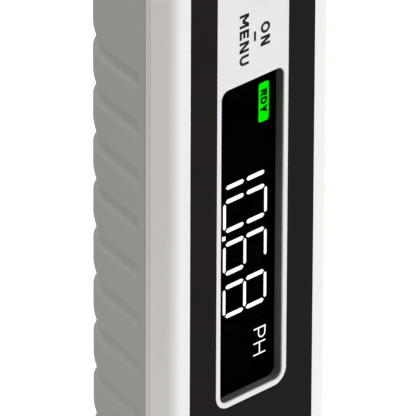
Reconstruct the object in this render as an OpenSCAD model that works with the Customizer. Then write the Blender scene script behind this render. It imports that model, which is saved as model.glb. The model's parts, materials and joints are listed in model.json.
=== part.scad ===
// Pen-type pH meter, standing upright on its storage cap.
// Z runs up the pen, the display faces -Y, and the base of the storage cap is at Z = 0.

/* [Casing] */
// Width of the casing across its side grips
body_w = 36.8; // [36:0.2:42]
// Depth of the casing from the label to the back
body_d = 20.6; // [20.4:0.2:26]
// Height of the casing's lower end
body_z0 = 44; // [44:1:48]
// Height of the casing's upper end
body_z1 = 178; // [176:1:184]
// Height at which the casing starts to narrow towards the probe
taper_z = 60; // [56:1:61]
// Half width of the casing at its lower end
neck_half_w = 11.6; // [11.4:0.1:13]
// Radius of the two front edges
front_r = 1.8; // [1.6:0.1:4]
// Radius of the two back edges
back_r = 3.2; // [2.8:0.1:6]
// Depth of the white front shell, from the label to the parting line
front_shell_d = 5.35; // [5:0.05:6]
// Thickness of the front shell's wall
front_wall = 1.8; // [1.4:0.1:2]
// Thickness of the rear shell's wall under the grip
rear_wall = 1.4; // [1:0.1:1.6]

/* [Soft grip] */
// Thickness of the soft grip moulded over the rear shell
grip_t = 1.2; // [1:0.1:1.6]
// Width of the hard lip left bare beside the parting line
lip_w = 1; // [0.6:0.1:1.6]
// Number of grooves across the grip
groove_count = 10; // [6:1:10]
// Distance from one groove to the next
groove_pitch = 8.8; // [6:0.1:8.8]
// Height of one groove
groove_h = 3.2; // [1:0.1:4]
// Depth of the grooves
groove_depth = 0.5; // [0.3:0.1:0.9]
// Angle at which the grooves drop towards the front
groove_tilt = 16; // [0:0.5:18]

/* [Label and display] */
// Width of the black label
label_w = 28.9; // [26:0.1:31]
// Height of the label's lower edge
label_z0 = 64; // [62:1:66]
// Height of the label's upper edge
label_z1 = 174; // [172:1:175]
// Thickness of the label, sunk flush in the front shell
label_t = 0.3; // [0.2:0.1:0.5]
// Width of the light strip around the window and button
strip_w = 16.5; // [16.4:0.1:20]
// Width of the window
window_w = 14.6; // [12:0.1:14.6]
// Height of the window's lower edge
window_z0 = 83; // [80:1:84]
// Height of the window's upper edge
window_z1 = 141.2; // [138:0.2:143]
// Corner radius of the window
window_r = 1.6; // [1:0.1:3]
// Depth of the window's floor below the label
window_depth = 1.8; // [1.2:0.1:2.2]

/* [Button] */
// Height of the button's centre
button_z = 163.5; // [160:0.5:165]
// Radius of the button
button_r = 6; // [4:0.5:6.5]
// Distance the button stands proud of the label
button_proud = 0.6; // [0.2:0.1:1]

/* [Battery] */
// Radius of the battery
battery_r = 5.25; // [5:0.05:5.25]
// Length of the battery, without its nub
battery_l = 43.5; // [42:0.5:44]
// Height of the top of the battery cap's lanyard eye
top_z = 194; // [194:1:200]

/* [Probe and storage cap] */
// Radius of the probe's stem
stem_r = 6.4; // [5.6:0.1:6.4]
// Radius of the collar nut
collar_r = 10.2; // [9.8:0.1:10.6]
// Outer radius of the storage cap
cap_r = 10; // [9.4:0.1:10.4]
// Height of the storage cap
cap_h = 32; // [30:1:32]
// Radius of the storage cap's foot, on which the pen stands
foot_r = 13; // [10:0.5:14]
// Radius of the glass bulb
bulb_r = 3.2; // [2.5:0.1:3.6]

/* [Hidden] */

$fn = 64;
gap = 0.05;                 // running clearance on a radius
fit = 0.1;                  // clearance between fixed pieces
over = 1;                   // how far a cutter runs past what it cuts

y_front = -body_d / 2;
y_seam = y_front + front_shell_d;
y_grip = y_seam + lip_w;
y_label = y_front + label_t;
y_floor = y_front + window_depth;
window_h = window_z1 - window_z0;
window_mid = (window_z0 + window_z1) / 2;
strip_border = (strip_w - window_w) / 2;
strip_z0 = window_z0 - strip_border;
frame_wall = 0.75;          // wall of the display frame around the window
flange_w = 1.6;             // how far the frame's flange reaches behind the shell

// The layers behind the window, from front to back
lens_t = 0.5;
lcd_t = 1.3;
backlight_t = 0.7;
board_t = 0.9;
y_lens = y_floor + fit;
y_lcd = y_lens + lens_t + fit;
y_backlight = y_lcd + lcd_t + fit;
y_board = y_backlight + backlight_t + fit;
y_board_back = y_board + board_t;
lcd_z0 = window_z0 - 4;
lcd_z1 = window_z1 + 4;
board_w = 29;
board_z0 = 66;
board_z1 = body_z1 - 8;
post_r = 2;
post_x = board_w / 2 - 2.2;
post_heights = [69, window_z1 + 8];
screw_r = 0.9;
screw_head_r = 1.7;
switch_h = 0.8;
travel = 0.55;              // room for the button above its switch
y_key = y_front + 2.2;      // front of the flange that holds the button in
y_key_back = y_board - switch_h - travel;

// The battery stands in a sleeve behind the board
sleeve_y = 1.35;
sleeve_r = 6;
sleeve_bore = 5.4;
neck_bore = 5.7;
neck_r = 6.25;
neck_z0 = body_z1 - 7;
plug_z0 = body_z1 - 5;
battery_z0 = plug_z0 - battery_l - 3;
sleeve_z0 = battery_z0 - 3.5;
plate_t = 2;
o_ring_t = 1.4;             // section of the seals
cap_seat = 0.2;             // gap between the casing and the battery cap
crown_z = top_z - 7.5;      // top of the battery cap beside its eye
eye_r = 1.8;
eye_t = 3;
eye_outer = 4.5;
eye_z = top_z - eye_outer;

// The probe plugs into a socket clamped between the shells
socket_r = 8;
socket_z0 = 36;
socket_z1 = 60;
socket_top_t = 4;
flange_r = 8.8;
flange_z = 48;
flange_t = 2;
stem_top = 54;
probe_flange_t = 1.5;
shoulder_r = 7.4;           // the storage cap seals on this part of the stem
shoulder_z = 29;
guard_r = 6.9;
guard_wall = 1.1;
guard_z0 = 9;
guard_slots = 4;
cap_floor = 2;
cap_bore = 7.9;
foot_h = 1.6;
foot_flare = 2;
bulb_z = 13.5;
glass_r = 2.4;

// ---- shared shapes ----

// Square in X and Z, pulled along Y from y0 to y1
module along_y(y0, y1) {
    translate([0, y1, 0]) rotate([90, 0, 0]) linear_extrude(y1 - y0) children();
}

module rounded_rect(w, h, r) {
    square([w - 2 * r, h], center = true);
    square([w, h - 2 * r], center = true);
    for (x = [-1, 1], y = [-1, 1])
        translate([x * (w / 2 - r), y * (h / 2 - r)]) circle(r);
}

// A rounded rectangle between two heights
module upright_rect(w, z0, z1, r) {
    translate([0, (z0 + z1) / 2]) rounded_rect(w, z1 - z0, r);
}

// Box centred on X, between two depths and two heights
module block(w, y0, y1, z0, z1) {
    translate([-w / 2, y0, z0]) cube([w, y1 - y0, z1 - z0]);
}

module ring(outer, inner, h) {
    difference() {
        cylinder(h, r = outer);
        translate([0, 0, -over]) cylinder(h + 2 * over, r = inner);
    }
}

// Seal of round section: radius at its middle, and the radius of the section
module seal_ring(mid_r, section_r) {
    rotate_extrude() translate([mid_r, 0]) circle(section_r, $fn = 24);
}

// Cross-section of the casing, drawn in by inset on every side
module section(inset = 0) {
    w = body_w / 2 - inset;
    front = y_front + inset;
    back = body_d / 2 - inset;
    rf = max(front_r - inset, 0.5);
    rb = max(back_r - inset, 0.5);
    translate([rf - w, front]) square([2 * (w - rf), back - rb - front]);
    translate([-w, front + rf]) square([2 * w, back - rb - front - rf]);
    translate([rb - w, front + rf]) square([2 * (w - rb), back - front - rf]);
    for (side = [-1, 1]) {
        translate([side * (w - rf), front + rf]) circle(rf);
        translate([side * (w - rb), back - rb]) circle(rb);
    }
}

function ease(t) = t * t * (3 - 2 * t);
function half_width(z) = z >= taper_z ? body_w / 2 :
    neck_half_w + (body_w / 2 - neck_half_w) * ease(max(0, (z - body_z0) / (taper_z - body_z0)));

// Outline of the casing seen from the front
module front_outline(inset, bottom, top) {
    steps = 12;
    step = (taper_z - body_z0) / steps;
    side = concat(
        [[half_width(bottom) - inset, bottom]],
        [for (i = [0 : steps]) let (z = body_z0 + step * i) if (z > bottom) [half_width(z) - inset, z]],
        [[body_w / 2 - inset, top]]);
    polygon(concat(side, [for (i = [len(side) - 1 : -1 : 0]) [-side[i].x, side[i].y]]));
}

// The casing as one solid, drawn in by inset, between two heights
module casing_solid(inset = 0, bottom = body_z0, top = body_z1) {
    intersection() {
        translate([0, 0, bottom]) linear_extrude(top - bottom) section(inset);
        along_y(-body_d, body_d) front_outline(inset, bottom, top);
    }
}

module ahead_of(y) {
    intersection() {
        children();
        block(2 * body_w, -2 * body_d, y, -over, 2 * body_z1);
    }
}

module behind(y) {
    intersection() {
        children();
        block(2 * body_w, y, 2 * body_d, -over, 2 * body_z1);
    }
}

// Room for the probe socket where it passes through the shells
module socket_seat() {
    translate([0, 0, body_z0 - over]) cylinder(socket_z1 - body_z0 + 2 * over, r = socket_r + gap);
    translate([0, 0, flange_z - gap]) cylinder(flange_t + 2 * gap, r = flange_r + gap);
}

module case_seal_strips() {
    along_y(y_seam - 0.5, y_seam + 0.5) difference() {
        front_outline(0.5, body_z0 + 4, body_z1 - 3);
        front_outline(1.1, body_z0, body_z1);
    }
}

module strip_outline() {
    upright_rect(strip_w, strip_z0, button_z, 2.8);
    translate([0, button_z]) circle(strip_w / 2);
    translate([0, button_z - strip_w / 2]) square([strip_w, strip_w], center = true);
}

module board_posts(z0) {
    for (x = [-1, 1])
        translate([x * post_x, 0, z0]) rotate([90, 0, 0]) children();
}

// ---- casing ----

module front_shell() {
    color("whitesmoke") difference() {
        union() {
            difference() {
                ahead_of(y_seam - gap) casing_solid();
                casing_solid(front_wall, body_z0 + 3, body_z1 + over);
            }
            for (z = post_heights)
                board_posts(z) translate([0, 0, -y_board]) cylinder(y_board - y_front - over, r = post_r);
        }
        along_y(y_front - over, y_label) upright_rect(label_w, label_z0, label_z1, 3);
        along_y(y_front - over, y_seam) upright_rect(window_w + 2 * (frame_wall + gap),
            window_z0 - frame_wall - gap, window_z1 + frame_wall + gap, window_r + frame_wall);
        translate([0, 0, button_z]) rotate([90, 0, 0])
            cylinder(2 * body_d, r = button_r + 0.2);
        for (z = post_heights)
            board_posts(z) translate([0, 0, -y_board - over]) cylinder(3, r = screw_r, $fn = 24);
        socket_seat();
        case_seal_strips();
    }
}

module rear_shell() {
    color("lightgray") difference() {
        union() {
            behind(y_seam + gap) casing_solid(grip_t);
            intersection() {
                casing_solid();
                block(2 * body_w, y_seam + gap, y_grip, 0, 2 * body_z1);
            }
        }
        casing_solid(grip_t + rear_wall, body_z0 + 3, body_z1 + over);
        socket_seat();
        case_seal_strips();
    }
}

module rear_grip() {
    first_z = window_z1 + 3.6;
    color("darkgray") difference() {
        behind(y_grip) casing_solid();
        casing_solid(grip_t, body_z0 - over, body_z1 + over);
        behind(y_grip + 2.2) difference() {
            for (i = [0 : groove_count - 1])
                translate([0, 0, first_z - i * groove_pitch]) rotate([groove_tilt, 0, 0])
                    cube([2 * body_w, 3 * body_d, groove_h], center = true);
            casing_solid(groove_depth, body_z0 - over, body_z1 + over);
        }
    }
}

module case_seals() {
    color("dimgray") case_seal_strips();
}

// ---- label and display ----

module label_overlay() {
    color("black") along_y(y_front, y_label) difference() {
        upright_rect(label_w - fit, label_z0 + gap, label_z1 - gap, 3);
        strip_outline();
    }
}

module label_strip() {
    color("gainsboro") along_y(y_front, y_label) difference() {
        strip_outline();
        upright_rect(window_w, window_z0, window_z1, window_r);
        translate([0, button_z]) circle(button_r + 0.2);
    }
}

module display_frame() {
    color("dimgray") difference() {
        union() {
            along_y(y_label, y_floor) upright_rect(window_w + 2 * frame_wall,
                window_z0 - frame_wall, window_z1 + frame_wall, window_r + frame_wall);
            along_y(y_floor + gap, y_lcd - gap) upright_rect(window_w + 2 * frame_wall + 2 * flange_w,
                window_z0 - frame_wall - flange_w, window_z1 + frame_wall + flange_w, window_r);
            along_y(y_floor - gap, y_floor + 2 * gap) upright_rect(window_w + 2 * frame_wall,
                window_z0 - frame_wall, window_z1 + frame_wall, window_r + frame_wall);
        }
        along_y(y_front - over, y_lcd) upright_rect(window_w, window_z0, window_z1, window_r);
        along_y(y_floor + 2 * gap, y_lcd) upright_rect(window_w + 2 * frame_wall,
            window_z0 - frame_wall, window_z1 + frame_wall, window_r);
    }
}

module window_lens() {
    color("lightblue") along_y(y_lens, y_lens + lens_t)
        upright_rect(window_w + 2 * (frame_wall - gap), window_z0 - frame_wall + gap,
            window_z1 + frame_wall - gap, window_r);
}

module lcd_panel() {
    color("darkslategray") block(18, y_lcd, y_lcd + lcd_t, lcd_z0, lcd_z1);
}

module lcd_backlight() {
    color("white") block(17, y_backlight, y_backlight + backlight_t, lcd_z0 + 2.4, lcd_z1 - 2.4);
}

module zebra_strips() {
    color("dimgray") for (z = [lcd_z0 + 0.3, lcd_z1 - 2.1])
        block(16, y_lcd + lcd_t, y_board, z, z + 1.8);
}

// ---- electronics ----

module main_board() {
    color("darkgreen") difference() {
        block(board_w, y_board, y_board_back, board_z0, board_z1);
        for (z = post_heights)
            board_posts(z) translate([0, 0, -y_board_back - over])
                cylinder(board_t + 2 * over, r = screw_r + 0.15, $fn = 24);
    }
}

module processor_chip() {
    color("black") block(7, y_board_back, y_board_back + 1.2, 88, 95);
}

module amplifier_chip() {
    color("black") translate([-7, 0, 0]) block(4, y_board_back, y_board_back + 1.3, 76, 81);
}

module crystal_can() {
    color("silver") translate([8, y_board_back + 1.2, 88]) cylinder(6, r = 1.2);
}

module board_passives() {
    color("tan") for (x = [-10, -5, 5, 10], z = [84, 99, 103])
        translate([x, 0, 0]) block(1.2, y_board_back, y_board_back + 0.7, z, z + 2);
}

module board_screws() {
    color("silver") for (z = post_heights)
        board_posts(z) {
            translate([0, 0, -y_board - 0.8]) cylinder(0.8 + 1.0 + 0.9, r = screw_r - 0.02, $fn = 24);
        }
    color("silver") for (z = post_heights)
        board_posts(z) translate([0, 0, -y_board_back - 1]) difference() {
            cylinder(1, r = screw_head_r);
            translate([0, 0, -over]) cylinder(over + 0.5, r = 0.8, $fn = 4);
        }
}

module button_switch() {
    color("black") translate([0, 0, button_z]) block(6, y_board - switch_h, y_board, -3, 3);
}

module power_button() {
    color("gainsboro") translate([0, 0, button_z]) rotate([90, 0, 0]) {
        translate([0, 0, -y_key]) cylinder(y_key - y_front + button_proud, r = button_r);
        translate([0, 0, -y_key_back]) cylinder(y_key_back - y_key, r = button_r + 1);
    }
}

module button_seal() {
    color("dimgray") translate([0, 0, button_z]) rotate([90, 0, 0])
        translate([0, 0, -y_front - 3.4]) ring(button_r + 2.2, button_r + 1 + gap, 1.55);
}

// ---- battery ----

module battery_sleeve() {
    color("dimgray") difference() {
        union() {
            translate([0, sleeve_y, sleeve_z0]) cylinder(neck_z0 - sleeve_z0, r = sleeve_r);
            translate([0, sleeve_y, neck_z0]) cylinder(body_z1 - neck_z0, r = neck_r);
            ahead_of(y_seam) casing_solid(front_wall + gap, body_z1 - plate_t, body_z1);
            behind(y_seam - gap) casing_solid(grip_t + rear_wall + gap, body_z1 - plate_t, body_z1);
        }
        translate([0, sleeve_y, sleeve_z0 + 1]) cylinder(body_z1, r = sleeve_bore);
        translate([0, sleeve_y, neck_z0 + 0.6]) cylinder(body_z1, r = neck_bore);
    }
}

module battery() {
    color("goldenrod") translate([0, sleeve_y, battery_z0]) {
        cylinder(battery_l, r = battery_r);
        translate([0, 0, battery_l]) cylinder(1, r = 1.9);
    }
}

module lower_contact() {
    color("silver") translate([0, sleeve_y, sleeve_z0 + 1]) {
        cylinder(0.4, r = 4.6);
        cylinder(battery_z0 - sleeve_z0 - 1, r1 = 3.6, r2 = 2);
    }
}

// The cap's outline seen along one axis, with its two top edges rounded
module crown_outline(w, r) {
    low = body_z1 + cap_seat;
    translate([-w / 2, low]) square([w, crown_z - low - r]);
    translate([r - w / 2, low]) square([w - 2 * r, crown_z - low]);
    for (side = [-1, 1])
        translate([side * (w / 2 - r), crown_z - r]) circle(r);
}

module battery_cap() {
    color("darkgray") difference() {
        union() {
            intersection() {
                translate([0, 0, body_z1 + cap_seat]) linear_extrude(crown_z) section();
                along_y(-body_d, body_d) crown_outline(body_w, 5);
                translate([-body_w, 0, 0]) rotate([90, 0, 90])
                    linear_extrude(2 * body_w) crown_outline(body_d, 4);
            }
            along_y(-eye_t / 2, eye_t / 2) {
                translate([0, eye_z]) circle(eye_outer);
                translate([-eye_outer, crown_z - 2]) square([2 * eye_outer, eye_z - crown_z + 2]);
            }
            translate([0, sleeve_y, plug_z0]) cylinder(body_z1 + over - plug_z0, r = neck_bore - gap);
        }
        along_y(-over - eye_t / 2, over + eye_t / 2) translate([0, eye_z]) circle(eye_r);
        translate([0, sleeve_y, plug_z0 + 1.6]) ring(sleeve_r + over, neck_bore - o_ring_t, o_ring_t + 0.1);
        translate([0, sleeve_y, plug_z0 - over]) cylinder(over + 0.6, r = 4.2);
    }
}

module battery_cap_o_ring() {
    color("black") translate([0, sleeve_y, plug_z0 + 1.65 + o_ring_t / 2])
        seal_ring(neck_bore - o_ring_t / 2 + 0.02, o_ring_t / 2 - gap);
}

module cap_contact() {
    color("silver") translate([0, sleeve_y, plug_z0 - 1.4]) {
        translate([0, 0, 1.4]) cylinder(0.6, r = 4.1);
        cylinder(1.4, r1 = 1.4, r2 = 2.6);
    }
}

// ---- probe ----

module probe_socket() {
    color("dimgray") difference() {
        union() {
            translate([0, 0, socket_z0]) cylinder(socket_z1 - socket_z0, r = socket_r);
            translate([0, 0, flange_z]) cylinder(flange_t, r = flange_r);
        }
        translate([0, 0, socket_z0 - over]) cylinder(stem_top - socket_z0 + over + 2, r = stem_r + gap);
        for (x = [-2.5, 0, 2.5])
            translate([x, 0, 0]) cylinder(socket_z1 + over, r = 0.6, $fn = 24);
    }
}

module socket_contacts() {
    color("gold") for (x = [-2.5, 0, 2.5])
        translate([x, 0, stem_top + 1.2]) cylinder(socket_z1 - stem_top, r = 0.55, $fn = 24);
}

module collar_nut() {
    h = body_z0 - 0.2 - cap_h - over;
    ribs = 24;
    color("dimgray") translate([0, 0, cap_h + over]) difference() {
        cylinder(h, r = collar_r);
        translate([0, 0, -over]) cylinder(h + 2 * over, r = shoulder_r + 0.1);
        translate([0, 0, socket_z0 - cap_h - over - probe_flange_t - gap])
            cylinder(h, r = socket_r + gap);
        for (i = [0 : ribs - 1])
            rotate([0, 0, i * 360 / ribs]) translate([collar_r + 0.5, 0, -over])
                cylinder(h + 2 * over, r = 1, $fn = 24);
    }
}

module probe_stem() {
    color("gray") difference() {
        union() {
            translate([0, 0, shoulder_z]) cylinder(socket_z0 - shoulder_z, r = shoulder_r);
            translate([0, 0, socket_z0 - probe_flange_t]) cylinder(probe_flange_t - gap, r = socket_r - fit);
            translate([0, 0, socket_z0 - over]) cylinder(stem_top - socket_z0 + over, r = stem_r);
        }
        translate([0, 0, 41]) ring(stem_r + over, stem_r - o_ring_t, o_ring_t + 0.1);
        translate([0, 0, shoulder_z - over]) cylinder(stem_top - shoulder_z - 3, r = glass_r + gap);
        translate([-4.4, 0, shoulder_z - over]) cylinder(3, r = 1.05);
        translate([4.4, 0, shoulder_z - over]) cylinder(3, r = 1.25);
        for (x = [-2.5, 0, 2.5])
            translate([x, 0, stem_top - 2]) cylinder(3, r = 0.65, $fn = 24);
    }
}

module probe_o_ring() {
    color("black") translate([0, 0, 41.05 + o_ring_t / 2])
        seal_ring(stem_r - o_ring_t / 2 + 0.02, o_ring_t / 2 - gap);
}

module probe_plug() {
    color("gold") for (x = [-2.5, 0, 2.5])
        translate([x, 0, stem_top - 2]) cylinder(3.1, r = 0.5, $fn = 24);
}

module sensor_guard() {
    h = shoulder_z - guard_z0;
    color("gray") translate([0, 0, guard_z0]) difference() {
        ring(guard_r, guard_r - guard_wall, h);
        for (i = [0 : guard_slots - 1])
            rotate([0, 0, 45 + i * 360 / guard_slots]) translate([0, -2.2, -over])
                cube([guard_r + over, 4.4, 12 + over]);
    }
}

module glass_electrode() {
    color("lightblue") translate([0, 0, bulb_z + bulb_r - 0.4])
        ring(glass_r, glass_r - 0.5, stem_top - 5 - bulb_z - bulb_r);
}

module glass_bulb() {
    color("lightcyan") translate([0, 0, bulb_z]) difference() {
        sphere(bulb_r);
        sphere(bulb_r - 0.35);
        translate([0, 0, bulb_r - 0.4]) cylinder(over, r = bulb_r);
    }
}

module electrode_wire() {
    color("silver") translate([0, 0, bulb_z - 1]) cylinder(34, r = 0.4, $fn = 24);
}

module reference_junction() {
    color("ivory") translate([-4.4, 0, shoulder_z - 1.5]) cylinder(3, r = 1);
}

module temperature_pin() {
    color("silver") translate([4.4, 0, 0]) {
        translate([0, 0, 14.2]) cylinder(shoulder_z - 12.8, r = 1.2);
        translate([0, 0, 14.2]) sphere(1.2);
    }
}

// ---- storage cap ----

module storage_cap() {
    color("dimgray") difference() {
        union() {
            cylinder(cap_h, r = cap_r);
            cylinder(foot_h, r1 = foot_r, r2 = foot_r - 0.4);
            translate([0, 0, foot_h]) cylinder(foot_flare, r1 = foot_r - 0.4, r2 = cap_r);
        }
        translate([0, 0, cap_floor]) cylinder(shoulder_z - cap_floor - 0.2, r = cap_bore);
        translate([0, 0, cap_floor]) cylinder(cap_h, r = shoulder_r + gap);
        translate([0, 0, shoulder_z + 0.7]) cylinder(o_ring_t, r = shoulder_r + 0.95);
    }
}

module storage_sponge() {
    color("khaki") translate([0, 0, cap_floor]) cylinder(2, r = cap_bore - 0.6);
}

module storage_cap_seal() {
    color("black") translate([0, 0, shoulder_z + 0.95])
        ring(shoulder_r + 0.9, shoulder_r + 0.02, 0.9);
}

front_shell();
rear_shell();
rear_grip();
case_seals();
label_overlay();
label_strip();
display_frame();
window_lens();
lcd_panel();
lcd_backlight();
zebra_strips();
main_board();
processor_chip();
amplifier_chip();
board_passives();
crystal_can();
button_switch();
board_screws();
power_button();
button_seal();
battery_sleeve();
battery();
lower_contact();
battery_cap();
battery_cap_o_ring();
cap_contact();
probe_socket();
socket_contacts();
collar_nut();
probe_stem();
probe_o_ring();
probe_plug();
sensor_guard();
glass_electrode();
glass_bulb();
electrode_wire();
reference_junction();
temperature_pin();
storage_cap();
storage_sponge();
storage_cap_seal();
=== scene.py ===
import json
import math

import bmesh
import bpy
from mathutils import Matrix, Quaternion, Vector


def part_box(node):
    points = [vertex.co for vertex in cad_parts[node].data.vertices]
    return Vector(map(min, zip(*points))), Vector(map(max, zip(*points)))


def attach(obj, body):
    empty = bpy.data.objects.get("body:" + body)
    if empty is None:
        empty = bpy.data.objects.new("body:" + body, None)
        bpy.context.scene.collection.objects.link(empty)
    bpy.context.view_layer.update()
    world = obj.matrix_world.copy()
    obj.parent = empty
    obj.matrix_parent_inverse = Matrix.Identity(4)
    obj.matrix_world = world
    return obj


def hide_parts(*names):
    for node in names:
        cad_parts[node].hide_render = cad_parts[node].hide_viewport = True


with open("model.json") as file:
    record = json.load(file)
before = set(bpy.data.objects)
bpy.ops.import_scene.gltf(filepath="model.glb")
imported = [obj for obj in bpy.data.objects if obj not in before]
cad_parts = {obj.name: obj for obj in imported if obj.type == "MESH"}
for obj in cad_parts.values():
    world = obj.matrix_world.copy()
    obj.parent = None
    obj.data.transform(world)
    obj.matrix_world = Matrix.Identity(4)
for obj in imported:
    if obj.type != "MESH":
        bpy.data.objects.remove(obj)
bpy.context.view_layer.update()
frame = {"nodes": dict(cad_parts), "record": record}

MM = 0.001

# ---- places read from the CAD, in metres ----
SHELL_LO, SHELL_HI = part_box("front_shell")
GRIP_LO, GRIP_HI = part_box("rear_grip")
LABEL_LO, LABEL_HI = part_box("label_overlay")
WINDOW_LO, WINDOW_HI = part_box("window_lens")
BUTTON_LO, BUTTON_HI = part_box("power_button")
REAR_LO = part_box("rear_shell")[0]
STRIP_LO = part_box("label_strip")[0]
CAP_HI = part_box("storage_cap")[1]

FRONT = SHELL_LO.y
BACK = GRIP_HI.y
SEAM = SHELL_HI.y
LIP_FRONT = REAR_LO.y
GRIP_FRONT = GRIP_LO.y
HALF_W = SHELL_HI.x
BASE_Z, TOP_Z = SHELL_LO.z, SHELL_HI.z
BUTTON_Z = (BUTTON_LO.z + BUTTON_HI.z) / 2

# ---- sizes that the CAD's boxes don't give ----
TAPER_Z = 60 * MM           # the casing narrows below this height
NECK_HALF_W = 11.6 * MM
FRONT_R = 1.8 * MM
BACK_R = 3.2 * MM
NECK_FRONT_R = 4.9 * MM
NECK_BACK_R = 8.5 * MM
LEAST_R = 0.4 * MM          # of the inside of a wall's corner
FRONT_WALL = 1.8 * MM
REAR_WALL = 1.4 * MM
GRIP_T = 1.2 * MM
GRIP_GAP = 0.05 * MM        # between the soft grip and the rear shell
LIP_SOFT = 0.3 * MM         # bevel along the lip's front edge
FRAME_WALL = 0.8 * MM
LENS_EDGE = 0.7 * MM        # how far the lens reaches behind the frame
WINDOW_W = WINDOW_HI.x - WINDOW_LO.x - 2 * LENS_EDGE
WINDOW_H = WINDOW_HI.z - WINDOW_LO.z - 2 * LENS_EDGE
WINDOW_TOP = WINDOW_HI.z - LENS_EDGE
LABEL_CORNER = 3 * MM
FRAME_CORNER = 2.5 * MM
BUTTON_HOLE_R = 6.2 * MM
ROW = 2 * MM                # height of a wall's rows of faces
GRIP_ROW = 0.35 * MM        # the same on the grooved grip

FILM = 0.02 * MM            # thickness of a printed or lit mark
LIT_Y = WINDOW_LO.y - 0.04 * MM    # front of the lit marks
PRINT_Y = STRIP_LO.y - FILM        # front of the printed words


# ---- node helpers ----

def x_of(tree, space):
    """The X part of the point being shaded, in one of the texture spaces."""
    place = tree.nodes.new("ShaderNodeTexCoord")
    split = tree.nodes.new("ShaderNodeSeparateXYZ")
    tree.links.new(place.outputs[space], split.inputs[0])
    return split.outputs["X"]


def ranged(tree, value, low, high, start=0.0, end=1.0, curve="LINEAR"):
    """Turns a value that runs from start to end into one that runs from low to high."""
    node = tree.nodes.new("ShaderNodeMapRange")
    node.interpolation_type = curve
    node.inputs["From Min"].default_value = start
    node.inputs["From Max"].default_value = end
    node.inputs["To Min"].default_value = low
    node.inputs["To Max"].default_value = high
    tree.links.new(value, node.inputs["Value"])
    return node.outputs[0]


def noise(tree, scale, detail):
    """A noise fixed to the object. scale is the number of its cells in a metre."""
    place = tree.nodes.new("ShaderNodeTexCoord")
    node = tree.nodes.new("ShaderNodeTexNoise")
    node.inputs["Scale"].default_value = scale
    node.inputs["Detail"].default_value = detail
    tree.links.new(place.outputs["Object"], node.inputs["Vector"])
    return node.outputs["Fac"]


def average(tree, a, b):
    """Half of one value plus half of the other."""
    half = tree.nodes.new("ShaderNodeMath")
    half.operation = "MULTIPLY"
    half.inputs[1].default_value = 0.5
    both = tree.nodes.new("ShaderNodeMath")
    both.operation = "MULTIPLY_ADD"
    both.inputs[1].default_value = 0.5
    tree.links.new(a, half.inputs[0])
    tree.links.new(b, both.inputs[0])
    tree.links.new(half.outputs[0], both.inputs[2])
    return both.outputs[0]


def new_material(name):
    material = bpy.data.materials.new(name)
    material.use_nodes = True
    return material, material.node_tree, material.node_tree.nodes["Principled BSDF"]


# ---- camera, floor and light ----

def add_camera():
    """From the front left and above. The lens is set from how wide the view is at the pen."""
    azimuth, elevation, roll = math.radians(-45), math.radians(27.5), math.radians(0.25)
    distance = 1.6
    view_w = 68.6 * MM
    sensor = 36
    below_window_top, left_of_middle = 23.8 * MM, 7.3 * MM
    back = Vector((math.sin(azimuth) * math.cos(elevation),
                   -math.cos(azimuth) * math.cos(elevation), math.sin(elevation)))
    right = Vector((math.cos(azimuth), math.sin(azimuth), 0))
    aim = Vector((0, FRONT, WINDOW_TOP - below_window_top)) - right * left_of_middle
    data = bpy.data.cameras.new("camera")
    data.sensor_width = sensor
    data.lens = sensor * distance / view_w
    data.clip_start, data.clip_end = 0.01, 50
    camera = bpy.data.objects.new("camera", data)
    camera.location = aim + back * distance
    camera.rotation_mode = "QUATERNION"
    level = (-back).to_track_quat("-Z", "Y")
    camera.rotation_quaternion = Quaternion(back, roll) @ level
    bpy.context.scene.collection.objects.link(camera)
    bpy.context.scene.camera = camera


def add_floor():
    """A white floor, dimmer on the left, so that the left side is lit from above."""
    half = 12.0
    dim_x, full_x = -0.25, 0.1
    mesh = bpy.data.meshes.new("floor")
    mesh.from_pydata([(-half, -half, 0), (half, -half, 0), (half, half, 0), (-half, half, 0)],
                     [], [(0, 1, 2, 3)])
    floor = bpy.data.objects.new("floor", mesh)
    bpy.context.scene.collection.objects.link(floor)
    material, tree, shader = new_material("floor_white")
    shader.inputs["Roughness"].default_value = 0.9
    shader.inputs["Specular IOR Level"].default_value = 0.1
    shader.inputs["Emission Color"].default_value = (1, 1, 1, 1)
    place = x_of(tree, "Object")
    for socket, dim, full in (("Base Color", 0.45, 0.9), ("Emission Strength", 0.0, 0.5)):
        level = ranged(tree, place, dim, full, dim_x, full_x, "SMOOTHSTEP")
        tree.links.new(level, shader.inputs[socket])
    mesh.materials.append(material)


def add_world():
    """A white studio, dimmer on the side that the grip's left face looks at."""
    world = bpy.data.worlds.new("studio")
    bpy.context.scene.world = world
    world.use_nodes = True
    tree = world.node_tree
    tree.nodes.clear()
    background = tree.nodes.new("ShaderNodeBackground")
    output = tree.nodes.new("ShaderNodeOutputWorld")
    level = ranged(tree, x_of(tree, "Generated"), 0.0, 0.85, -1, 1)
    tree.links.new(level, background.inputs["Strength"])
    tree.links.new(background.outputs[0], output.inputs[0])


def add_area(name, place, size, power, colour=(1, 1, 1)):
    """A square soft light that looks at the pen's middle."""
    target = Vector((0, 0, 0.1))
    data = bpy.data.lights.new(name, "AREA")
    data.size = size
    data.energy = power
    data.color = colour
    light = bpy.data.objects.new(name, data)
    light.location = place
    light.rotation_mode = "QUATERNION"
    light.rotation_quaternion = (target - Vector(place)).to_track_quat("-Z", "Y")
    light.visible_camera = False
    bpy.context.scene.collection.objects.link(light)


def set_stage():
    bpy.context.scene.view_settings.view_transform = "Standard"
    bpy.context.scene.view_settings.look = "None"
    add_camera()
    add_floor()
    add_world()
    add_area("key", (0.5, -1.1, 0.75), size=0.8, power=8)
    add_area("high_left", (-0.8, 0.0, 1.3), size=0.4, power=10.8, colour=(1, 0.97, 0.92))


# ---- materials ----

DRIFT_SCALE = 90            # slow change of colour and gloss
GLOSS_DRIFT = 0.05          # how far the roughness goes either way
BUMP_STRENGTH = 0.6
SMEAR_SCALE = 120
SMEAR = 0.03                # how much rougher a clear surface gets


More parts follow.
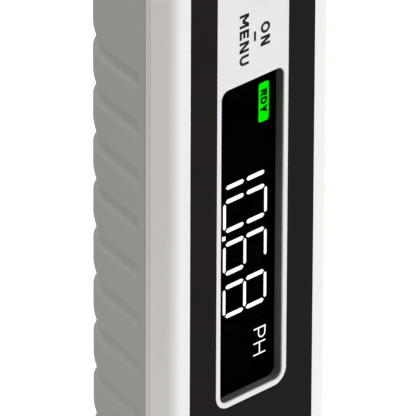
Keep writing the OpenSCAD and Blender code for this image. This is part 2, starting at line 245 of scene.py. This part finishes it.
def finish_of(slot, colour, roughness, grain, depth, specular=0.4, vary=0.04, metallic=0.0,
              glow=0.0):
    """A moulded, plated or printed surface: colour and gloss that drift a little, and a fine
    grain of a given size and depth in millimetres."""
    material, tree, shader = new_material(slot)
    shader.inputs["Metallic"].default_value = metallic
    shader.inputs["Specular IOR Level"].default_value = specular
    drift = noise(tree, DRIFT_SCALE, 4)
    speck = noise(tree, 1 / (grain * MM), 3)
    tint = tree.nodes.new("ShaderNodeMix")
    tint.data_type = "RGBA"
    tint.inputs["A"].default_value = (*[c * (1 - vary) for c in colour], 1)
    tint.inputs["B"].default_value = (*[min(1, c * (1 + vary)) for c in colour], 1)
    tree.links.new(average(tree, drift, speck), tint.inputs["Factor"])
    tree.links.new(tint.outputs["Result"], shader.inputs["Base Color"])
    gloss = ranged(tree, drift, roughness - GLOSS_DRIFT, min(1, roughness + GLOSS_DRIFT))
    tree.links.new(gloss, shader.inputs["Roughness"])
    if depth:
        bump = tree.nodes.new("ShaderNodeBump")
        bump.inputs["Strength"].default_value = BUMP_STRENGTH
        bump.inputs["Distance"].default_value = depth * MM
        tree.links.new(speck, bump.inputs["Height"])
        tree.links.new(bump.outputs["Normal"], shader.inputs["Normal"])
    if glow:
        shader.inputs["Emission Color"].default_value = (*colour, 1)
        shader.inputs["Emission Strength"].default_value = glow
    return material


def clear_finish(slot, colour, roughness, specular, ior=1.45):
    """A clear surface with a faint smear in its gloss."""
    material, tree, shader = new_material(slot)
    shader.inputs["Base Color"].default_value = (*colour, 1)
    shader.inputs["Specular IOR Level"].default_value = specular
    shader.inputs["Transmission Weight"].default_value = 1.0
    shader.inputs["IOR"].default_value = ior
    smear = noise(tree, SMEAR_SCALE, 2)
    gloss = ranged(tree, smear, roughness, roughness + SMEAR)
    tree.links.new(gloss, shader.inputs["Roughness"])
    return material


CASING_FINISHES = {
    "white_plastic": dict(colour=(0.866, 0.851, 0.84), roughness=0.42, grain=0.25, depth=0.008,
                          vary=0.012),
    "pale_grey_plastic": dict(colour=(0.8, 0.775, 0.74), roughness=0.5, grain=0.25, depth=0.01,
                              vary=0.02),
    "grey_grip": dict(colour=(0.46, 0.452, 0.438), roughness=0.82, grain=0.18, depth=0.03,
                      specular=0.25, vary=0.05),
    "black_label": dict(colour=(0.0088, 0.0062, 0.007), roughness=0.6, grain=0.3, depth=0.003,
                        specular=0.05, vary=0.06),
    "light_label": dict(colour=(0.80, 0.80, 0.815), roughness=0.5, grain=0.3, depth=0.003,
                        specular=0.25, vary=0.01),
    "print_black": dict(colour=(0.003, 0.0025, 0.0025), roughness=0.6, grain=0.3, depth=0.002,
                        specular=0.2),
    "dark_grey_plastic": dict(colour=(0.12, 0.118, 0.121), roughness=0.5, grain=0.2, depth=0.01,
                              vary=0.06),
    "button_plastic": dict(colour=(0.5, 0.5, 0.505), roughness=0.5, grain=0.2, depth=0.012,
                           vary=0.03),
    "cap_grey_plastic": dict(colour=(0.46, 0.452, 0.435), roughness=0.62, grain=0.22, depth=0.02,
                             specular=0.3, vary=0.04),
    "black_rubber": dict(colour=(0.02, 0.02, 0.02), roughness=0.75, grain=0.2, depth=0.01),
}

DISPLAY_FINISHES = {
    "lcd_glass": dict(colour=(0.0004, 0.0004, 0.0004), roughness=0.6, grain=1, depth=0,
                      specular=0.0),
    "white_diffuser": dict(colour=(0.85, 0.85, 0.83), roughness=0.7, grain=0.5, depth=0),
    "segment_white": dict(colour=(0.9, 0.9, 0.9), roughness=0.8, grain=1, depth=0,
                          specular=0.0, vary=0.0, glow=0.4),
    "ready_green": dict(colour=(0.0, 0.9, 0.0), roughness=0.8, grain=1, depth=0,
                        specular=0.0, vary=0.0, glow=0.05),
    "segment_black": dict(colour=(0.001, 0.001, 0.001), roughness=0.9, grain=1, depth=0,
                          specular=0.0),
}

INNER_FINISHES = {
    "green_board": dict(colour=(0.02, 0.16, 0.06), roughness=0.35, grain=0.4, depth=0.01,
                        vary=0.15),
    "black_chip": dict(colour=(0.02, 0.02, 0.021), roughness=0.6, grain=0.1, depth=0.01),
    "tan_ceramic": dict(colour=(0.5, 0.36, 0.2), roughness=0.6, grain=0.1, depth=0.005),
    "bright_metal": dict(colour=(0.72, 0.71, 0.69), roughness=0.28, grain=0.1, depth=0.003,
                         metallic=1),
    "gold_contact": dict(colour=(0.83, 0.6, 0.24), roughness=0.25, grain=0.1, depth=0.003,
                         metallic=1),
    "battery_jacket": dict(colour=(0.55, 0.36, 0.1), roughness=0.3, grain=0.5, depth=0.002,
                           metallic=0.6),
}

PROBE_FINISHES = {
    "collar_plastic": dict(colour=(0.10, 0.10, 0.102), roughness=0.5, grain=0.2, depth=0.015,
                           vary=0.06),
    "probe_plastic": dict(colour=(0.17, 0.17, 0.175), roughness=0.45, grain=0.2, depth=0.01,
                          vary=0.05),
    "ceramic_plug": dict(colour=(0.78, 0.74, 0.64), roughness=0.85, grain=0.1, depth=0.02),
    "storage_cap_plastic": dict(colour=(0.085, 0.085, 0.088), roughness=0.45, grain=0.2,
                                depth=0.012, vary=0.06),
    "sponge": dict(colour=(0.7, 0.6, 0.32), roughness=0.95, grain=0.6, depth=0.3, vary=0.2),
}

CLEAR_FINISHES = {
    "clear_lens": dict(colour=(1, 1, 1), roughness=0.0, specular=0.0, ior=1.01),
    "clear_glass": dict(colour=(0.93, 0.97, 0.98), roughness=0.02, specular=0.5),
}


def make_materials():
    """Every material, by its name."""
    looks = {}
    for finishes in (CASING_FINISHES, DISPLAY_FINISHES, INNER_FINISHES, PROBE_FINISHES):
        for slot, values in finishes.items():
            looks[slot] = finish_of(slot, **values)
    for slot, values in CLEAR_FINISHES.items():
        looks[slot] = clear_finish(slot, **values)
    return looks


# ---- mesh helpers ----

def new_piece(name, mesh, material, body, smooth=True):
    piece = bpy.data.objects.new(name, mesh)
    bpy.context.scene.collection.objects.link(piece)
    mesh.materials.clear()
    mesh.materials.append(material)
    for face in mesh.polygons:
        face.use_smooth = smooth
    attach(piece, body)
    return piece


def mesh_from(name, points, faces):
    """A closed mesh whose faces look outwards."""
    mesh = bpy.data.meshes.new(name)
    mesh.from_pydata([tuple(p) for p in points], [], faces)
    mesh.validate()
    work = bmesh.new()
    work.from_mesh(mesh)
    bmesh.ops.recalc_face_normals(work, faces=work.faces)
    work.to_mesh(mesh)
    work.free()
    return mesh


def lathe(profile, turns, radius_of=None):
    """Points and faces of a closed profile of (radius, height) turned about Z. radius_of may
    change a point's radius by its angle."""
    points, faces = [], []
    count = len(profile)
    for i in range(turns):
        angle = 2 * math.pi * i / turns
        for r, z in profile:
            radius = radius_of(r, z, angle) if radius_of else r
            points.append((radius * math.cos(angle), radius * math.sin(angle), z))
    for i in range(turns):
        a, b = i * count, (i + 1) % turns * count
        for j in range(count):
            k = (j + 1) % count
            faces.append((a + j, b + j, b + k, a + k))
    return points, faces


def turned_mesh(name, points, faces):
    """A lathed shape as a mesh, with the points that meet on its axis made one."""
    mesh = mesh_from(name, points, faces)
    work = bmesh.new()
    work.from_mesh(mesh)
    bmesh.ops.remove_doubles(work, verts=work.verts, dist=0.001 * MM)
    bmesh.ops.recalc_face_normals(work, faces=work.faces)
    work.to_mesh(mesh)
    work.free()
    return mesh


def ease(t):
    t = min(1, max(0, t))
    return t * t * (3 - 2 * t)


def mixed(a, b, t):
    return a + (b - a) * t


def heights_between(low, high, step):
    count = max(2, round((high - low) / step))
    return [mixed(low, high, i / count) for i in range(count + 1)]


def rounded_outline(w, h, r, steps=10):
    """Corner points of a rounded rectangle about the origin, in X and Z."""
    points = []
    for cx, cz, turn in ((1, 1, 0), (-1, 1, 1), (-1, -1, 2), (1, -1, 3)):
        for i in range(steps + 1):
            angle = math.pi / 2 * (turn + i / steps)
            points.append((cx * (w / 2 - r) + r * math.cos(angle),
                           cz * (h / 2 - r) + r * math.sin(angle)))
    return points


def slab(name, outline, y0, y1, centre_z=0.0, centre_x=0.0):
    """An outline in X and Z as a plate from y0 to y1."""
    count = len(outline)
    points = [(centre_x + x, y, centre_z + z) for y in (y0, y1) for x, z in outline]
    faces = [tuple(range(count)), tuple(range(2 * count - 1, count - 1, -1))]
    for i in range(count):
        j = (i + 1) % count
        faces.append((i, count + i, count + j, j))
    return mesh_from(name, points, faces)


def cut(piece, mesh):
    """Takes a solid out of a piece, for good."""
    cutter = bpy.data.objects.new("cutter", mesh)
    bpy.context.scene.collection.objects.link(cutter)
    modifier = piece.modifiers.new("cut", "BOOLEAN")
    modifier.operation = "DIFFERENCE"
    modifier.solver = "EXACT"
    modifier.object = cutter
    result = bpy.data.meshes.new_from_object(
        piece.evaluated_get(bpy.context.evaluated_depsgraph_get()))
    piece.modifiers.clear()
    piece.data = result
    bpy.data.objects.remove(cutter)


def smooth_by_angle(piece, degrees=35):
    mesh = piece.data
    for face in mesh.polygons:
        face.use_smooth = True
    work = bmesh.new()
    work.from_mesh(mesh)
    sharpest = math.radians(degrees)
    for edge in work.edges:
        edge.smooth = len(edge.link_faces) == 2 and edge.calc_face_angle(0) < sharpest
    work.to_mesh(mesh)
    work.free()


# ---- casing ----

def fullness(z):
    """0 at the casing's lower end, 1 where it has its whole width."""
    return ease((z - BASE_Z) / (TAPER_Z - BASE_Z))


def half_width(z):
    return mixed(NECK_HALF_W, HALF_W, fullness(z))


def wall_path(z, inset, start_y, face_y, corner, neck_corner):
    """One wall of the casing seen from above, at height z: from the left side's edge at
    start_y, round the corner, across the face at face_y and back to the right side's edge."""
    side_steps, arc_steps, face_steps = 26, 12, 16
    out = 1 if face_y > start_y else -1
    w = half_width(z) - inset
    face = face_y - out * inset
    r = max(LEAST_R, mixed(neck_corner, corner, fullness(z)) - inset)
    bend_y = face - out * r
    half = []
    for i in range(side_steps):
        half.append((w, mixed(start_y, bend_y, i / side_steps)))
    for i in range(arc_steps):
        angle = math.pi / 2 * i / arc_steps
        half.append((w - r + r * math.cos(angle), bend_y + out * r * math.sin(angle)))
    for i in range(face_steps + 1):
        half.append((mixed(w - r, 0, i / face_steps), face))
    left = [(-x, y) for x, y in half[:-1]]
    return left + half[::-1]


def pressed_in(path, z, side, carve):
    """The points of a wall's path at height z, each moved inwards by what carve says. side is
    1 if the casing's inside is on the path's left, and -1 if it is on the right."""
    points = []
    for j, (x, y) in enumerate(path):
        before = Vector(path[max(0, j - 1)])
        after = Vector(path[min(len(path) - 1, j + 1)])
        along = (after - before).normalized()
        inward = Vector((-along.y, along.x, 0)) * side
        points.append(Vector((x, y, z)) + inward * carve(x, y, z))
    return points


def loft_wall(name, heights, thickness, start_y, face_y, corner, neck_corner, inset=0, carve=None):
    """A wall of the casing as a closed mesh. carve gives how far a point is pressed in."""
    outer_rows, inner_rows = [], []
    side = 1 if face_y < start_y else -1
    for z in heights:
        outer = wall_path(z, inset, start_y, face_y, corner, neck_corner)
        inner = wall_path(z, inset + thickness, start_y, face_y, corner, neck_corner)
        outer_rows.append(pressed_in(outer, z, side, carve) if carve
                          else [Vector((x, y, z)) for x, y in outer])
        inner_rows.append([Vector((x, y, z)) for x, y in inner])
    width = len(outer_rows[0])
    points = [p for row in outer_rows + inner_rows for p in row]
    faces = []
    shift = len(heights) * width
    for i in range(len(heights) - 1):
        for j in range(width - 1):
            a = i * width + j
            quad = (a, a + 1, a + width + 1, a + width)
            faces.append(quad)
            faces.append(tuple(shift + k for k in reversed(quad)))
        for j in (0, width - 1):
            a = i * width + j
            faces.append((a, a + width, shift + a + width, shift + a))
    for i in (0, len(heights) - 1):
        for j in range(width - 1):
            a = i * width + j
            faces.append((a, a + 1, shift + a + 1, shift + a))
    return mesh_from(name, points, faces)


GROOVE_PITCH = 8.8 * MM
GROOVE_TILT = math.tan(math.radians(16))
FIRST_GROOVE = WINDOW_TOP + 2.1 * MM    # lower edge, at the middle of the casing's depth
GROOVES = 10
SIDE_H, SIDE_DEPTH = 3.4 * MM, 0.46 * MM
BACK_H, BACK_DEPTH = 4.6 * MM, 0.78 * MM
BACK_GROWTH = 1.3           # how much deeper the lowest groove is than the highest, at the back
BACK_ROUND = 1.5            # power of the sine that shapes a groove across the back
LOWER_EDGE = 0.55 * MM      # height of the steep lower side of a groove
UPPER_EDGE = 2.3 * MM       # height of its soft upper side
FLAT_MARGIN = 1.5 * MM      # plain band between the lip and the grooves
FADE = 0.9 * MM             # length over which a groove rises out of that band
BACK_BAND = 4.0 * MM        # where the grooves deepen as they turn on to the back
BACK_RISE = 0.9 * MM


def grip_carve(x, y, z):
    """How far the grip is pressed in: shallow grooves across the back that run forward and
    down along the sides. Each has a long soft upper side and a steep lower one."""
    toward_back = ease((y - BACK + BACK_BAND) / BACK_BAND)
    lower_edge = FIRST_GROOVE + y * GROOVE_TILT + BACK_RISE * toward_back
    place = min(GROOVES - 1, max(0, math.ceil((lower_edge - z) / GROOVE_PITCH)))
    above = z - lower_edge + place * GROOVE_PITCH
    height = mixed(SIDE_H, BACK_H, toward_back)
    if not 0 < above < height:
        return 0.0
    steep = ease(above / LOWER_EDGE) * ease((height - above) / UPPER_EDGE)
    even = math.sin(math.pi * above / height) ** BACK_ROUND
    growth = mixed(1.0, BACK_GROWTH, place / (GROOVES - 1))
    depth = mixed(SIDE_DEPTH * steep, BACK_DEPTH * growth * even, toward_back)
    return depth * ease((y - GRIP_FRONT - FLAT_MARGIN) / FADE)


def make_front_shell(looks):
    """The white shell, with its recess for the label and its holes for window and button."""
    wall = loft_wall("white_front_shell", heights_between(BASE_Z, TOP_Z, ROW), FRONT_WALL,
                     SEAM, FRONT, FRONT_R, NECK_FRONT_R)
    shell = new_piece("white_front_shell", wall, looks["white_plastic"], "casing")
    hair = 0.03 * MM
    ahead, deep = FRONT - 1 * MM, FRONT + 4 * MM
    label_w, label_h = LABEL_HI.x - LABEL_LO.x + 2 * hair, LABEL_HI.z - LABEL_LO.z + 2 * hair
    label_z = (LABEL_HI.z + LABEL_LO.z) / 2
    window_z = WINDOW_TOP - WINDOW_H / 2
    label = rounded_outline(label_w, label_h, LABEL_CORNER)
    window = rounded_outline(WINDOW_W + 2 * FRAME_WALL, WINDOW_H + 2 * FRAME_WALL, FRAME_CORNER)
    button = rounded_outline(2 * BUTTON_HOLE_R, 2 * BUTTON_HOLE_R, BUTTON_HOLE_R, 16)
    cut(shell, slab("cutter", label, ahead, LABEL_HI.y, label_z))
    cut(shell, slab("cutter", window, ahead, deep, window_z))
    cut(shell, slab("cutter", button, ahead, deep, BUTTON_Z))
    smooth_by_angle(shell)
    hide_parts("front_shell")


def make_rear_shell(looks):
    wall = loft_wall("pale_rear_shell", heights_between(BASE_Z, TOP_Z, ROW), REAR_WALL,
                     LIP_FRONT, BACK, BACK_R, NECK_BACK_R, inset=GRIP_T)
    rear = new_piece("pale_rear_shell", wall, looks["pale_grey_plastic"], "casing")
    smooth_by_angle(rear)
    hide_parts("rear_shell")


def make_lip(looks, name, side):
    """The bare edge of the rear shell between the parting line and the grip."""
    points, faces = [], []
    ring = [(0.0, LIP_FRONT + LIP_SOFT), (-LIP_SOFT, LIP_FRONT), (-GRIP_T, LIP_FRONT),
            (-GRIP_T, GRIP_FRONT), (0.0, GRIP_FRONT)]
    heights = heights_between(BASE_Z, TOP_Z, ROW)
    for z in heights:
        points += [(side * (half_width(z) + x), y, z) for x, y in ring]
    count = len(ring)
    for i in range(len(heights) - 1):
        for j in range(count):
            k = (j + 1) % count
            a, b = i * count, (i + 1) * count
            faces.append((a + j, a + k, b + k, b + j))
    faces.append(tuple(range(count)))
    faces.append(tuple(range(len(points) - count, len(points))))
    lip = new_piece(name, mesh_from(name, points, faces), looks["pale_grey_plastic"], "casing")
    smooth_by_angle(lip)


def make_grip(looks):
    wall = loft_wall("soft_grip", heights_between(BASE_Z, TOP_Z, GRIP_ROW), GRIP_T - GRIP_GAP,
                     GRIP_FRONT + GRIP_GAP, BACK, BACK_R, NECK_BACK_R, carve=grip_carve)
    grip = new_piece("soft_grip", wall, looks["grey_grip"], "casing")
    smooth_by_angle(grip, 50)
    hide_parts("rear_grip")


# ---- display ----

DIGIT_H = 9.6 * MM          # between the middles of the outer bars
DIGIT_W = 5.4 * MM
DIGIT_PITCH = 7.98 * MM
READOUT_X = -4.6 * MM       # foot of the figures
READOUT_Z = WINDOW_TOP - 13.9 * MM      # start of the first figure
UPRIGHT_T, LEVEL_T = 0.78 * MM, 0.6 * MM   # thickness of a figure's upright and level bars
BAR_GAP = 0.3 * MM
SEGMENTS = {"0": "abcdef", "1": "bc", "6": "afgecd", "8": "abcdefg"}


def bar(u0, v0, u1, v1):
    """Outline of one display bar between two corner points, with pointed ends."""
    along = Vector((u1 - u0, v1 - v0))
    length = along.length
    along.normalize()
    half = (UPRIGHT_T if u0 == u1 else LEVEL_T) / 2
    across = Vector((-along.y, along.x)) * half
    start = Vector((u0, v0)) + along * BAR_GAP
    end = start + along * (length - 2 * BAR_GAP)
    point = along * half
    return [start, start + point - across, end - point - across, end,
            end - point + across, start + point + across]


def digit_bars(figure):
    w, h = DIGIT_W, DIGIT_H
    place = {
        "a": (0, h, w, h), "b": (w, h, w, h / 2), "c": (w, h / 2, w, 0), "d": (0, 0, w, 0),
        "e": (0, h / 2, 0, 0), "f": (0, h, 0, h / 2), "g": (0, h / 2, w, h / 2),
    }
    return [bar(*place[s]) for s in SEGMENTS[figure]]


def flat_shapes(name, outlines, origin_x, origin_z, y):
    """Outlines as thin plates. Their first axis runs down the window, and their tops are
    towards +X."""
    points, faces = [], []
    for outline in outlines:
        first = len(points)
        count = len(outline)
        for depth in (0, FILM):
            points += [(origin_x + v, y + depth, origin_z - u) for u, v in outline]
        faces.append(tuple(first + i for i in range(count)))
        faces.append(tuple(first + count + i for i in reversed(range(count))))
        for i in range(count):
            j = (i + 1) % count
            faces.append((first + i, first + count + i, first + count + j, first + j))
    return mesh_from(name, points, faces)


def make_digits(looks):
    """The four figures, each a piece of its own, and the decimal point after the second."""
    for place, figure in enumerate("1068"):
        mesh = flat_shapes("digit", digit_bars(figure), READOUT_X,
                           READOUT_Z - place * DIGIT_PITCH, LIT_Y)
        new_piece("digit_%d" % (place + 1), mesh, looks["segment_white"], "casing",
                  smooth=False)
    point_place = 1.83 * DIGIT_PITCH
    half_w, lean, low, high = 0.4 * MM, 0.05 * MM, -0.5 * MM, 0.25 * MM
    point = [(-half_w - lean, low), (half_w - lean, low), (half_w + lean, high),
             (lean - half_w, high)]
    mesh = flat_shapes("point", [point], READOUT_X, READOUT_Z - point_place, LIT_Y)
    new_piece("decimal_point", mesh, looks["segment_white"], "casing",
              smooth=False)


def make_ready_mark(looks):
    """A green box with dark letters, at the window's upper right."""
    low_z, high_z = WINDOW_TOP - 9.9 * MM, WINDOW_TOP - 2.7 * MM
    left_x, right_x = 3.2 * MM, 5.55 * MM
    corner = 0.5 * MM
    middle_x, middle_z = (left_x + right_x) / 2, (low_z + high_z) / 2
    box = slab("ready_box", rounded_outline(right_x - left_x, high_z - low_z, corner),
               LIT_Y, LIT_Y + FILM, middle_z, middle_x)
    new_piece("ready_box", box, looks["ready_green"], "casing", smooth=False)
    lettering("ready_letters", "RDY", looks["segment_black"],
              centre=(middle_x, middle_z + 0.15 * MM), height=1.5 * MM, length=4.3 * MM,
              y=LIT_Y - 0.03 * MM, stroke=0.4 * MM, spacing=0.12)


def make_unit(looks):
    lettering("unit_letters", "PH", looks["segment_white"],
              centre=(3.8 * MM, WINDOW_TOP - 50.7 * MM), height=2.8 * MM, length=5.1 * MM,
              y=LIT_Y, stroke=0.24 * MM)


# ---- lettering, as plain strokes ----

def oblong(x0, y0, x1, y1):
    return [(x0, y0), (x1, y0), (x1, y1), (x0, y1)]


def slant(x0, y0, x1, y1, t):
    """A leaning stroke of width t between two heights. x0 and x1 are its left edge."""
    return [(x0, y0), (x0 + t, y0), (x1 + t, y1), (x1, y1)]


def curve(cx, cy, rx, ry, start, end, t, steps=14):
    """A stroke of width t inside an ellipse, from one angle to another in degrees."""
    quads = []
    for i in range(steps):
        near, far = (math.radians(mixed(start, end, k / steps)) for k in (i, i + 1))
        quads.append([(cx + (rx - d) * math.cos(a), cy + (ry - d) * math.sin(a))
                      for a, d in ((near, 0), (far, 0), (far, t), (near, t))])
    return quads


def bowl(w, low, high, t):
    """The round side of a P, R or D, with its two level arms."""
    ry = (high - low) / 2
    rx = min(ry, 0.65 * w)
    return [oblong(0, low, w - rx, low + t), oblong(0, high - t, w - rx, high)] \
        + curve(w - rx, low + ry, rx, ry, -90, 90, t)


# How wide each letter is beside an O.
LETTER_W = {"O": 1.0, "N": 0.85, "M": 1.05, "E": 0.7, "U": 0.82, "R": 0.78, "D": 0.85, "Y": 0.85,
            "P": 0.75, "H": 0.85}


def glyph(letter, w, h, t):
    """The strokes of a plain capital, w wide and h high, with strokes of width t."""
    left, right = oblong(0, 0, t, h), oblong(w - t, 0, w, h)
    wide = 1.25 * t
    middle = (w - wide) / 2
    fork = [slant(middle, 0.3 * h, 0, h, wide), slant(middle, 0.3 * h, w - wide, h, wide)]
    return {
        "O": curve(w / 2, h / 2, w / 2, h / 2, 0, 360, t, 28),
        "N": [left, right, slant(w - wide, 0, 0, h, wide)],
        "M": [left, right] + fork,
        "E": [left, oblong(0, 0, w, t), oblong(0, h - t, w, h),
              oblong(0, (h - t) / 2, 0.9 * w, (h + t) / 2)],
        "U": [oblong(0, w / 2, t, h), oblong(w - t, w / 2, w, h)]
        + curve(w / 2, w / 2, w / 2, w / 2, 180, 360, t),
        "R": [left, slant(w - wide, 0, 0.45 * w, 0.42 * h, wide)] + bowl(w, 0.42 * h, h, t),
        "P": [left] + bowl(w, 0.38 * h, h, t),
        "D": [left] + bowl(w, 0, h, t),
        "Y": fork + [oblong((w - t) / 2, 0, (w + t) / 2, 0.45 * h)],
        "H": [left, right, oblong(0, (h - t) / 2, w, (h + t) / 2)],
    }[letter]


def lettering(name, words, material, centre, height, length, y, stroke, spacing=0.22):
    """Plain capitals that run downwards with their tops towards +X. spacing is the gap
    between letters, as a share of a letter's width."""
    unit = length / (sum(LETTER_W[c] for c in words) + spacing * (len(words) - 1))
    outlines, start = [], -length / 2
    for letter in words:
        w = LETTER_W[letter] * unit
        for outline in glyph(letter, w, height, stroke):
            outlines.append([(start + u, v - height / 2) for u, v in outline])
        start += w + spacing * unit
    mesh = flat_shapes(name, outlines, centre[0], centre[1], y)
    new_piece(name, mesh, material, "casing", smooth=False)


def make_markings(looks):
    """The words beside the button, printed on the light strip."""
    middle = WINDOW_TOP + 7.5 * MM
    letter_h, stroke = 2.15 * MM, 0.5 * MM
    ink = looks["print_black"]
    lettering("mark_on", "ON", ink, centre=(2.78 * MM, middle),
              height=letter_h, length=4.3 * MM, y=PRINT_Y, stroke=stroke)
    lettering("mark_menu", "MENU", ink, centre=(-2.12 * MM, middle + 0.4 * MM),
              height=letter_h, length=9.3 * MM, y=PRINT_Y, stroke=stroke)
    dash_w, dash_h, dash_corner = 0.48 * MM, 1.75 * MM, 0.05 * MM
    dash = slab("mark_dash", rounded_outline(dash_w, dash_h, dash_corner), PRINT_Y,
                PRINT_Y + FILM, centre_z=middle + 0.25 * MM, centre_x=0.35 * MM)
    new_piece("mark_dash", dash, ink, "casing", smooth=False)


# ---- button and storage cap ----

def make_button(looks):
    """A round key with a shallow thumb dish, and a power sign moulded in it."""
    r, top = 6.0 * MM, BUTTON_LO.y
    dish_depth, rim_w, edge_r = 0.35 * MM, 0.9 * MM, 0.7 * MM
    flange_y, flange_r = top + 2.8 * MM, r + 1 * MM
    dish_steps, edge_steps = 9, 6
    profile = [(0.0, top + dish_depth)]
    for i in range(1, dish_steps):
        t = i / dish_steps
        profile.append((t * (r - rim_w), top + dish_depth * (1 - ease(t))))
    for i in range(edge_steps + 1):
        angle = math.pi / 2 * i / edge_steps
        profile.append((r - edge_r + edge_r * math.sin(angle),
                        top + edge_r * (1 - math.cos(angle))))
    profile += [(r, flange_y), (flange_r, flange_y), (flange_r, BUTTON_HI.y), (0.0, BUTTON_HI.y)]
    points, faces = lathe(profile, 72)
    points = [(x, depth, BUTTON_Z + z) for x, z, depth in points]
    key = new_piece("thumb_button", turned_mesh("thumb_button", points, faces),
                    looks["button_plastic"], "power_button")
    smooth_by_angle(key)
    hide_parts("power_button")
    make_power_sign(looks["print_black"], top + 0.33 * MM)


def make_power_sign(ink, y):
    """A broken ring with a bar through its gap."""
    front, back = y - 0.12 * MM, y + 0.1 * MM
    mid, half_t = 2.1 * MM, 0.26 * MM
    stroke_h = 1.9 * MM
    gap_angle, steps = math.radians(35), 40
    start = math.pi / 2 + gap_angle
    turn = 2 * math.pi - 2 * gap_angle
    angles = [start + turn * i / steps for i in range(steps + 1)]
    outer = [(mid + half_t) * Vector((math.cos(a), math.sin(a))) for a in angles]
    inner = [p * (mid - half_t) / (mid + half_t) for p in reversed(outer)]
    ring = slab("power_ring", [tuple(p) for p in outer + inner], front, back, BUTTON_Z)
    new_piece("power_ring", ring, ink, "power_button", smooth=False)
    stroke = slab("power_stroke", rounded_outline(2 * half_t, stroke_h, 0.1 * MM), front, back,
                  BUTTON_Z + stroke_h)
    new_piece("power_stroke", stroke, ink, "power_button", smooth=False)


def make_storage_cap(looks):
    """The storage cap, with a band of thumb flutes below its rim."""
    top, r, foot_r = CAP_HI.z, 10 * MM, CAP_HI.x
    edge, foot_h, flare_top = 0.3 * MM, 1.6 * MM, 4.2 * MM
    rim_edge, rim_soft = 0.5 * MM, 0.15 * MM
    bore, floor = 7.9 * MM, 2 * MM
    neck_r, neck_z = 7.45 * MM, top - 3.2 * MM
    flutes, flute_depth = 30, 0.45 * MM
    band_low, band_high, band_fade = 14 * MM, 28 * MM, 2 * MM
    flare_steps, side_steps = 8, 44
    foot_top_r = foot_r - 2 * edge
    profile = [(0.0, 0.0), (foot_r - edge, 0.0), (foot_r, edge), (foot_r - edge / 2, foot_h - edge),
               (foot_top_r, foot_h)]
    for i in range(1, flare_steps + 1):
        angle = math.pi / 2 * i / flare_steps
        profile.append((r + (foot_top_r - r) * (1 - math.sin(angle)),
                        flare_top - (flare_top - foot_h) * math.cos(angle)))
    profile += [(r, mixed(flare_top, top - rim_edge, i / side_steps))
                for i in range(1, side_steps + 1)]
    profile += [(r - rim_soft, top - rim_soft), (r - rim_edge, top), (neck_r, top),
                (neck_r, neck_z), (bore, neck_z), (bore, floor), (0.0, floor)]

    def fluted(radius, z, angle):
        if abs(radius - r) > 0.01 * MM:
            return radius
        band = ease((z - band_low) / band_fade) * ease((band_high - z) / band_fade)
        wave = (1 - math.cos(flutes * angle)) / 2
        return radius - flute_depth * band * wave ** 2

    points, faces = lathe(profile, flutes * 8, fluted)
    cap = new_piece("fluted_storage_cap", turned_mesh("fluted_storage_cap", points, faces),
                    looks["storage_cap_plastic"], "storage_cap")
    smooth_by_angle(cap, 40)
    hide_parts("storage_cap")


def dress_cad_nodes(looks):
    """Gives every CAD node the material of its slot in the record."""
    slots = {part["node"]: part["material_slot"] for part in frame["record"]["subparts"]}
    for node, thing in frame["nodes"].items():
        thing.data.materials.clear()
        thing.data.materials.append(looks[slots[node]])
        smooth_by_angle(thing)


set_stage()
looks = make_materials()
dress_cad_nodes(looks)
make_front_shell(looks)
make_rear_shell(looks)
make_lip(looks, "rear_lip_left", -1)
make_lip(looks, "rear_lip_right", 1)
make_grip(looks)
make_digits(looks)
make_ready_mark(looks)
make_unit(looks)
make_markings(looks)
make_button(looks)
make_storage_cap(looks)
